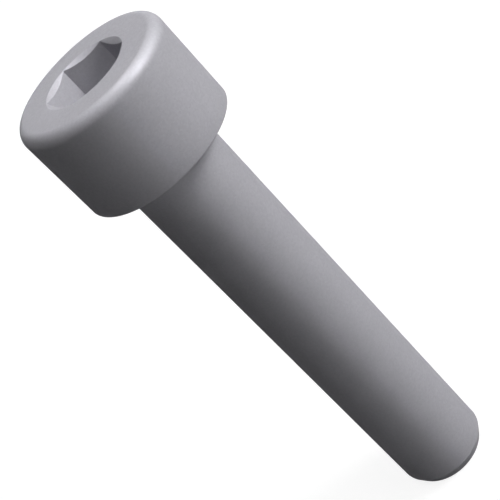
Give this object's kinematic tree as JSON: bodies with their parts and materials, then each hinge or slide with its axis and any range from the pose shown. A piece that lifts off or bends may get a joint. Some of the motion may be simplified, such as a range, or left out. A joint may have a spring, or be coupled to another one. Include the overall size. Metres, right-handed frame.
{
  "type": "hexagon socket head cap screw",
  "caption": "Plain cylindrical-head cap screw with a countersunk hexagon socket, a smooth round shank and a chamfered flat end.",
  "frame": {"origin": "centre of the bearing face under the head, on the screw's axis", "axes": "+Z along the screw's axis from the shank's end towards the head, +X towards a corner of the hexagon socket and +Y towards one of its flats"},
  "size_m": [0.013, 0.013, 0.048],
  "materials": {
    "coated_steel": "satin"
  },
  "bodies": {
    "root": {"cap_screw": "coated_steel"}
  },
  "joints": []
}
